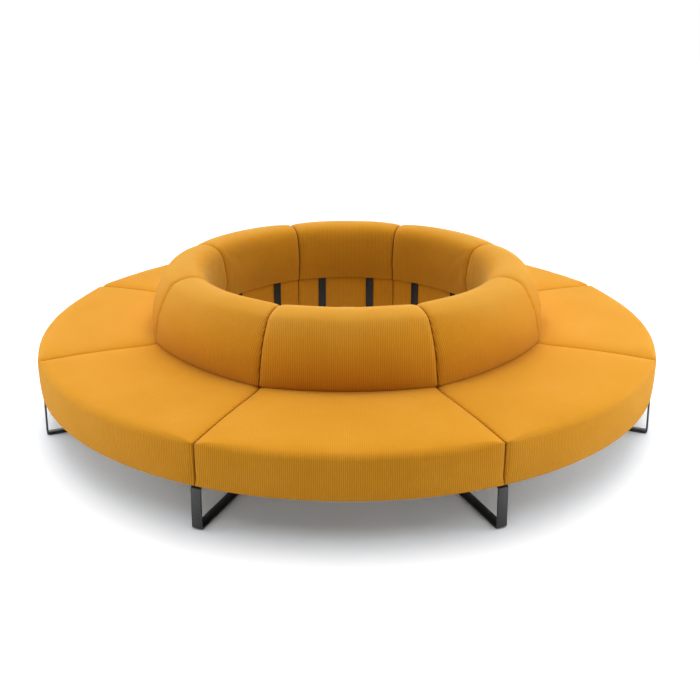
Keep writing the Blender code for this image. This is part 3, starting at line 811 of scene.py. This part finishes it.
# Paler random tone, and on the backs painted light towards the top, go to this colour.
CLOTH_PALE_TONE_AND_LIGHT = (1.0, 0.72, 0.22)
TOP_WEAR_AND_LIGHT = 0.62
CLOTH_SCALES = (60.0, 3.5)
RIB_PITCH = 0.0041
STITCH_PITCH = 0.0041
THREAD_PITCH = 0.0065
THREAD_SHOWN = 0.72
SEAM_LINE = (0.0013, -0.15)
# Width and strength of the painted shade where the cloth turns into the gap between modules.
SEAM_GAP_SHADE = (0.0035, -0.50)
CLOUD_TONE = 0.22
FLECK_TONE = 0.25
CLOTH_RELIEF = (0.75, 0.0011)


def painted_back_shading(tree, foot, rise, inner):
    """Painted shade and light on a back cushion: darker at the foot and on the inner side, lighter
    towards the top of the front.
    """
    x, y, z = parts_of(tree, add_node(tree, "ShaderNodeTexCoord").outputs["Object"])
    share = worked(tree, "DIVIDE", worked(tree, "SUBTRACT", z, foot), rise, clamp=True)
    square = worked(tree, "MULTIPLY_ADD", y, y, worked(tree, "MULTIPLY", x, x))
    past_inner = worked(tree, "SUBTRACT", worked(tree, "SQRT", square), inner)
    outer = worked(tree, "DIVIDE", past_inner, 0.06, clamp=True)
    return worked(tree, "MULTIPLY_ADD", share, outer, -0.6)


def sewn_seam(tree, along_cloth, tone):
    """The tone, darkened along the sewn line and with painted shade at the module's edge, where the
    cloth turns into the gap, and the thread's mask.
    """
    distance = add_node(tree, "ShaderNodeAttribute", attribute_name="seam_distance").outputs["Fac"]
    half_width, shade = SEAM_LINE
    off_line = worked(tree, "ABSOLUTE", worked(tree, "SUBTRACT", distance, SEAM_GROOVE[0]))
    off_line = worked(tree, "DIVIDE", off_line, half_width)
    line_mask = worked(tree, "SUBTRACT", 1.0, off_line, clamp=True)
    tone = worked(tree, "MULTIPLY_ADD", line_mask, shade, tone)
    # Painted shade where the cloth turns into the gap between modules.
    width, shade = SEAM_GAP_SHADE
    gap_shade = worked(tree, "SUBTRACT", 1.0, worked(tree, "DIVIDE", distance, width), clamp=True)
    tone = worked(tree, "MULTIPLY_ADD", gap_shade, shade, tone)
    stitch = worked(tree, "FRACT", worked(tree, "DIVIDE", along_cloth, THREAD_PITCH))
    shown = worked(tree, "LESS_THAN", stitch, THREAD_SHOWN)
    return tone, worked(tree, "MULTIPLY", line_mask, shown)


def make_mustard_cloth(name, painted_shading):
    """Mustard ribbed wool: painted shade in the grooves between the ribs, worn even where it lies
    upwards, where that painted shade is left out as the light from above leaves none, and a sewn
    seam line near the ends where the thread pulls the cloth down, with painted shade at the
    module's edge. Painted shading gives the foot height and rise of the painted shade and light on
    a back, darker at the foot and on the inner side and lighter towards the top, how far out from
    the ring's middle the lighter part starts, and how strong it is."""
    material, tree, shader = new_material(
        name,
        Sheen_Weight=0.42,
        Sheen_Roughness=0.45,
        Sheen_Tint=(1.0, 0.72, 0.26, 1.0),
        Specular_IOR_Level=0.04,
    )
    cloth_map = add_node(tree, "ShaderNodeUVMap", uv_map="cloth")
    knit = place_group(tree, knit_group, cloth_map.outputs[0], RIB_PITCH, STITCH_PITCH)
    cloud = place_group(tree, grain_group, cloth_map.outputs[0], *CLOTH_SCALES)
    lift, yarn, fleck = knit.outputs
    # Painted shade: the grooves between the ribs go to the deep colour.
    raised = worked(tree, "MULTIPLY_ADD", lift, 0.80, 0.20, clamp=True)
    colour = blended(tree, raised, CLOTH_RIB_SHADE, CLOTH_MAIN)
    pale = worked(tree, "MULTIPLY_ADD", yarn, 1.2, 0.25, clamp=True)
    colour = blended(tree, worked(tree, "MULTIPLY", pale, lift), colour, CLOTH_PALE)
    # Where the cloth faces up it is worn even, and this also takes the painted rib shade out there,
    # as the light from above leaves none.
    upward = worked(tree, "SUBTRACT", true_normal(tree)[2], 0.6)
    worn_and_top_lit = worked(tree, "MULTIPLY", upward, 3.3, clamp=True)
    colour = blended(tree, worked(tree, "MULTIPLY", worn_and_top_lit, TOP_WEAR_AND_LIGHT), colour, CLOTH_WORN_AND_TOP_LIT)
    clouded = worked(tree, "SUBTRACT", cloud.outputs["Cloud"], 0.5)
    tone = worked(tree, "MULTIPLY_ADD", clouded, CLOUD_TONE, 1.0)
    flecked = worked(tree, "SUBTRACT", fleck, 0.5)
    tone = worked(tree, "MULTIPLY_ADD", flecked, FLECK_TONE, tone)
    # Painted shade and light on the backs: darker at the foot and on the inner side, lighter
    # towards the top.
    if painted_shading:
        *reach, worth = painted_shading
        tone = worked(tree, "MULTIPLY_ADD", painted_back_shading(tree, *reach), worth, tone)
    tone, thread = sewn_seam(tree, parts_of(tree, cloth_map.outputs[0])[1], tone)
    # Tone below one darkens: random tone, the sewn line, and painted shade at the module's edge and
    # at the back's foot.
    dark = worked(tree, "SUBTRACT", 1.0, tone, clamp=True)
    colour = blended(tree, dark, colour, (0.0, 0.0, 0.0))
    # Tone above one goes paler: random tone, and on the backs painted light towards the top.
    light = worked(tree, "SUBTRACT", tone, 1.0, clamp=True)
    colour = blended(tree, light, colour, CLOTH_PALE_TONE_AND_LIGHT)
    colour = blended(tree, worked(tree, "MULTIPLY", thread, 0.25), colour, CLOTH_PALE)
    tree.links.new(colour, shader.inputs["Base Color"])
    tree.links.new(worked(tree, "MULTIPLY_ADD", fleck, 0.10, 0.82), shader.inputs["Roughness"])
    relief = worked(tree, "MULTIPLY_ADD", fleck, 0.25, lift)
    relief = worked(tree, "MULTIPLY_ADD", thread, 0.6, relief)
    bumped(tree, shader, relief, *CLOTH_RELIEF)
    return material


def make_recess(section, foot, half_angle, steps, seam_margin=0.0):
    """A space for plywood in the foam, as a solid to cut with: its section from a little under
    the cushion's foot up, spun through the angle, and cut off at a margin from the seams."""
    inner, outer, top = section
    low = foot - 0.01
    bpy.ops.object.select_all(action="DESELECT")
    bpy.ops.mesh.primitive_plane_add(size=1, location=(0, -(inner + outer) / 2, (low + top) / 2))
    cutter = bpy.context.object
    cutter.rotation_euler = (math.pi / 2, 0, math.pi / 2)
    cutter.scale = (outer - inner, top - low, 1)
    settled(cutter)
    cutter.data.transform(Matrix.Rotation(-half_angle, 4, "Z"))
    bpy.ops.object.mode_set(mode="EDIT")
    bpy.ops.mesh.select_all(action="SELECT")
    bpy.ops.mesh.spin(steps=steps, angle=-2 * half_angle, center=(0, 0, 0), axis=(0, 0, 1))
    if seam_margin:
        for side in (-1, 1):
            across = Vector((side * math.cos(HALF_ANGLE), math.sin(HALF_ANGLE), 0))
            bpy.ops.mesh.select_all(action="SELECT")
            bpy.ops.mesh.bisect(
                plane_co=-across * seam_margin, plane_no=across, clear_outer=True, use_fill=True
            )
    bpy.ops.mesh.select_all(action="SELECT")
    bpy.ops.mesh.normals_make_consistent(inside=False)
    bpy.ops.object.mode_set(mode="OBJECT")
    return cutter


def clear_of_seams(point):
    """Whether a point is far enough from the seams to fill out."""
    radius = math.hypot(point.x, point.y)
    return radius * math.sin(HALF_ANGLE - abs(math.atan2(point.x, -point.y))) > FILL_EDGE


def seat_free(point):
    """The open top, the rim and the outer wall fill out; the rest is held by foam and boards."""
    in_the_open = math.hypot(point.x, point.y) > SEAT_FRONT_OF_BACK + HELD_MARGIN
    return clear_of_seams(point) and in_the_open and point.z > SEAT_UNDERSIDE + HELD_MARGIN


def finished_cushion(piece, cutter, cloth):
    """One smoothing subdivision, then the space for the plywood is cut out."""
    with_modifier(piece, "SUBSURF", levels=1, render_levels=1, use_limit_surface=False)
    with_modifier(piece, "BOOLEAN", operation="DIFFERENCE", solver="EXACT", object=cutter)
    bpy.data.objects.remove(cutter)
    picked(piece)
    bpy.ops.object.shade_smooth_by_angle(angle=SMOOTH_CLOTH)
    piece.data.materials.clear()
    piece.data.materials.append(cloth)
    return piece


LINING_THICK = (0.84, 0.85, 0.86)
LINING_THIN = (0.74, 0.75, 0.76)
LINING_SCALES = (700.0, 35.0)
LINING_RELIEF = (0.3, 0.0005)


def make_lining():
    """Pale felted lining: matted fibres with thin and thick places."""
    material, tree, shader = new_material("pale_lining", Roughness=0.95, Specular_IOR_Level=0.2)
    cloth_map = add_node(tree, "ShaderNodeUVMap", uv_map="cloth")
    fibres = place_group(tree, grain_group, cloth_map.outputs[0], *LINING_SCALES)
    grain, cloud = fibres.outputs
    thick = worked(tree, "MULTIPLY_ADD", grain, 0.6, worked(tree, "MULTIPLY", cloud, 0.4))
    tree.links.new(blended(tree, thick, LINING_THIN, LINING_THICK), shader.inputs["Base Color"])
    bumped(tree, shader, grain, *LINING_RELIEF)
    return material


def line_underside(piece):
    """Puts the lining on the flat underside, round the plywood, where it is stapled."""
    piece.data.materials.append(make_lining())
    for face in piece.data.polygons:
        if face.normal.z < -0.9 and face.center.z < SEAT_UNDERSIDE + 0.003:
            face.material_index = 1


CLOTH_SHIFT = (1.37, 0.83)


def place_cushion(pattern, name, node, number):
    """A module's own copy of a cushion, cut from its own stretch of cloth."""
    cushion = turned_copy(pattern, name, (number - 1) * MODULE_ANGLE)
    for loop in cushion.data.uv_layers["cloth"].data:
        loop.uv = (loop.uv[0] + CLOTH_SHIFT[0] * number, loop.uv[1] + CLOTH_SHIFT[1] * number)
    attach(cushion, "root")
    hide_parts(node)


knit_group = make_knit_group()
seat_cloth = make_mustard_cloth("mustard_seat_cloth", None)
seat_pattern = make_sector(
    "seat_pattern", seat_outline(), seat_roll, seat_form, SEAT_END_ROLL, SEAT_MIDDLE_RINGS
)
fill_cover(seat_pattern, seat_free, SEAT_FILL_CAP)
base_recess = make_recess(BASE_RECESS, SEAT_UNDERSIDE, HALF_ANGLE, 40, BASE_RECESS_SEAM)
finished_cushion(seat_pattern, base_recess, seat_cloth)
line_underside(seat_pattern)
for number in range(1, MODULES + 1):
    place_cushion(seat_pattern, f"seat_{number}", f"seat_cushion_{number}", number)
bpy.data.objects.remove(seat_pattern)

# Back cushions: softer foam over a curved board, in the same cloth, leaning in over the open
# centre. Fat below and narrow above, with a lip that hangs over the supports on the inner side,
# drawn in and down towards the seams.
BACK_BASE = 0.3943
BACK_HEIGHT = 0.3327
BACK_INNER = 0.7318
BACK_DEPTH = 0.318
BACK_INNER_WALL = 0.7543
BACK_INNER_FOAM = 0.0225
BACK_INNER_SIDE = ((0.28, 0.00), (0.52, 0.16), (1.00, 0.32), (0.92, 0.48), (0.55, 0.64))
BACK_FRONT_SIDE = (
    (0.065, 0.78), (0.135, 0.90), (0.230, 0.965), (0.350, 1.00), (0.480, 0.995),
    (0.600, 0.965), (0.700, 0.91), (0.790, 0.78), (0.880, 0.60), (0.950, 0.39),
    (0.990, 0.14), (0.998, 0.035), (0.984, 0.00),
)
BACK_MIDDLE_RINGS = 17
BACK_END_ROLL = (0.036, 0.0075)
FOOT_ROLL = 0.3
FOOT_ROLL_RISE = 0.05
BACK_HELD_FOOT = 0.02
BACK_DRAWN_DOWN = 0.010
BACK_DRAWN_IN = 0.005
BACK_FRONT_FLATTENING = 0.026
BACK_FILL_CAP = 0.005
# Strength of the painted shade and light on the back cloth.
BACK_PAINTED_SHADING = 0.26
BOARD_SLOT = (0.7543, 0.7873, 0.5946)
BOARD_SLOT_HALF_ANGLE = math.radians(16.875) + 0.0005
BOARD_FLATS = 6


def smooth_run(points, steps):
    """A smooth run through points that lie apart, with steps between each two of them."""
    last = len(points) - 1
    run = [points[0]]
    for index in range(last):
        near = (max(0, min(last, index + offset)) for offset in (-1, 0, 1, 2))
        before, start, end, after = (Vector(points[at]) for at in near)
        for step in range(1, steps + 1):
            t = step / steps
            bend = (2 * before - 5 * start + 4 * end - after) * t**2
            bend += (3 * (start - end) + after - before) * t**3
            run.append(tuple((2 * start + (end - before) * t + bend) / 2))
    return run


def back_outline():
    """The back's section as radius and height, up the front, over and down the inner side."""
    front = [(BACK_INNER + out * BACK_DEPTH, up) for out, up in reversed(BACK_FRONT_SIDE)]
    inside = [
        (BACK_INNER_WALL - out * BACK_INNER_FOAM, up) for out, up in reversed(BACK_INNER_SIDE)
    ]
    marks = [(radius, BACK_BASE + up * BACK_HEIGHT) for radius, up in front + inside]
    points = smooth_run(marks, 5)
    return points + line(points[-1], points[0], 17)[:-1]


def back_roll(radius, height):
    """The ends are rounded all over, but less at the foot, which stands square on the seat."""
    return FOOT_ROLL + (1 - FOOT_ROLL) * ramp(height, BACK_BASE, FOOT_ROLL_RISE)


def back_form(radius, height, place):
    """The crown drops and the sides draw in towards the seams, and the front's foot is flatter
    than the ring."""
    pull = place**4
    rise = (height - BACK_BASE) / BACK_HEIGHT
    depth_share = (radius - BACK_INNER) / BACK_DEPTH
    drawn_in = BACK_DRAWN_IN * pull * (2 * depth_share - 1) * rise
    flattening = BACK_FRONT_FLATTENING * (1 - place**2) * depth_share**2 * (1 - rise) ** 4
    return radius - drawn_in - flattening, height - BACK_DRAWN_DOWN * pull * rise


def back_free(point):
    """All but the foot and the ends fills out."""
    return clear_of_seams(point) and point.z > BACK_BASE + BACK_HELD_FOOT


# The back cloth takes painted shade at its foot and inner side and painted light towards its top.
back_painted_shading = (BACK_BASE, BACK_HEIGHT, BACK_INNER_WALL, BACK_PAINTED_SHADING)
back_cloth = make_mustard_cloth("mustard_back_cloth", back_painted_shading)
back_pattern = make_sector(
    "back_pattern", back_outline(), back_roll, back_form, BACK_END_ROLL, BACK_MIDDLE_RINGS
)
fill_cover(back_pattern, back_free, BACK_FILL_CAP)
board_slot = make_recess(BOARD_SLOT, BACK_BASE, BOARD_SLOT_HALF_ANGLE, BOARD_FLATS)
finished_cushion(back_pattern, board_slot, back_cloth)
for number in range(1, MODULES + 1):
    place_cushion(back_pattern, f"back_{number}", f"back_cushion_{number}", number)
bpy.data.objects.remove(back_pattern)

# Studio: a white floor, a faint sky, three broad far lamps overhead, high behind and low behind
# the ring, a big soft lamp at each side, and the camera at the photograph's place. The floor and
# the sky are white where the camera, a gloss or a clear pane sees them.
SKY_STRENGTH = 0.02
HORIZON_STRENGTH = 0.26
HORIZON_BAND = 0.40
SKY_SEEN = 1.0
FAR_LAMPS = {
    "top_lamp": (1.90, 80, 0),
    "high_back_lamp": (1.44, 60, 30),
    "low_back_lamp": (1.63, 40, 75),
}
SIDE_LAMPS = {"left_lamp": (55.0, (-4.5, -0.9, 1.4)), "right_lamp": (78.0, (4.5, -1.0, 1.4))}
SIDE_LAMP_SIZE = (3.0, 2.0)
LAMP_AIM = (0.0, 0.0, 0.4)
FLOOR_SIZE = 60.0
FLOOR_DROP = 0.0003
FLOOR_LIT = (0.76, 0.76, 0.76)
FLOOR_SEEN = (1.14, 1.17, 1.21)
CAMERA_LENS = 47.806
CAMERA_SHIFT = (0.0072, -0.18)
CAMERA_PLACE = (-0.0384, -4.8330, 2.0486)
CAMERA_TURN = (math.radians(76.776), 0, -0.0059)


def seen_ray(tree):
    """One for what the camera, a gloss or a clear pane sees, and nought for other light."""
    path = add_node(tree, "ShaderNodeLightPath")
    seen = worked(tree, "MAXIMUM", path.outputs["Is Camera Ray"], path.outputs["Is Glossy Ray"])
    return worked(tree, "MAXIMUM", seen, path.outputs["Is Transmission Ray"])


def make_floor():
    """A plane just under the legs, seen a little whiter than it lights the object."""
    bpy.ops.object.select_all(action="DESELECT")
    bpy.ops.mesh.primitive_plane_add(size=FLOOR_SIZE, location=(0, 0, -FLOOR_DROP))
    floor = settled(bpy.context.object)
    floor.name = "studio_floor"
    material = bpy.data.materials.new("white_floor")
    material.use_nodes = True
    tree = material.node_tree
    tree.nodes.remove(tree.nodes["Principled BSDF"])
    matt = add_node(tree, "ShaderNodeBsdfDiffuse")
    tree.links.new(blended(tree, seen_ray(tree), FLOOR_LIT, FLOOR_SEEN), matt.inputs["Color"])
    tree.links.new(matt.outputs[0], tree.nodes["Material Output"].inputs[0])
    floor.data.materials.append(material)


def make_sky():
    """White light from all around, brightest at the horizon, and plain white where it is seen."""
    world = bpy.data.worlds.new("studio")
    world.use_nodes = True
    tree = world.node_tree
    sky = tree.nodes["Background"]
    sky.inputs["Color"].default_value = (1, 1, 1, 1)
    upward = parts_of(tree, add_node(tree, "ShaderNodeTexCoord").outputs["Generated"])[2]
    steepness = worked(tree, "DIVIDE", worked(tree, "ABSOLUTE", upward), HORIZON_BAND, clamp=True)
    fall = SKY_STRENGTH - HORIZON_STRENGTH
    lit = worked(tree, "MULTIPLY_ADD", steepness, fall, HORIZON_STRENGTH)
    seen = seen_ray(tree)
    unseen = worked(tree, "MULTIPLY", worked(tree, "SUBTRACT", 1.0, seen), lit)
    tree.links.new(worked(tree, "MULTIPLY_ADD", seen, SKY_SEEN, unseen), sky.inputs["Strength"])
    bpy.context.scene.world = world


def make_far_lamp(name, strength, spread, tilt):
    """A broad far lamp, tilted from overhead towards the back. Spread and tilt are degrees."""
    light = bpy.data.lights.new(name, "SUN")
    light.energy = strength
    light.angle = math.radians(spread)
    lamp = bpy.data.objects.new(name, light)
    lamp.rotation_euler = (math.radians(-tilt), 0, 0)
    bpy.context.scene.collection.objects.link(lamp)


def make_side_lamp(name, power, place):
    """A lamp behind a large pane beside the ring, turned towards it."""
    light = bpy.data.lights.new(name, "AREA")
    light.energy = power
    light.shape = "RECTANGLE"
    light.size, light.size_y = SIDE_LAMP_SIZE
    lamp = bpy.data.objects.new(name, light)
    lamp.location = place
    aim = Vector(LAMP_AIM) - Vector(place)
    lamp.rotation_euler = aim.to_track_quat("-Z", "Y").to_euler()
    bpy.context.scene.collection.objects.link(lamp)


make_floor()
make_sky()
for lamp_name, settings in FAR_LAMPS.items():
    make_far_lamp(lamp_name, *settings)
for lamp_name, settings in SIDE_LAMPS.items():
    make_side_lamp(lamp_name, *settings)
bpy.context.scene.view_settings.view_transform = "Standard"

lens = bpy.data.cameras.new("photo_view")
lens.sensor_width = 36
lens.lens = CAMERA_LENS
lens.shift_x, lens.shift_y = CAMERA_SHIFT
lens.clip_end = 200
camera = bpy.data.objects.new("photo_view", lens)
camera.location = CAMERA_PLACE
camera.rotation_euler = CAMERA_TURN
bpy.context.scene.collection.objects.link(camera)
bpy.context.scene.camera = camera
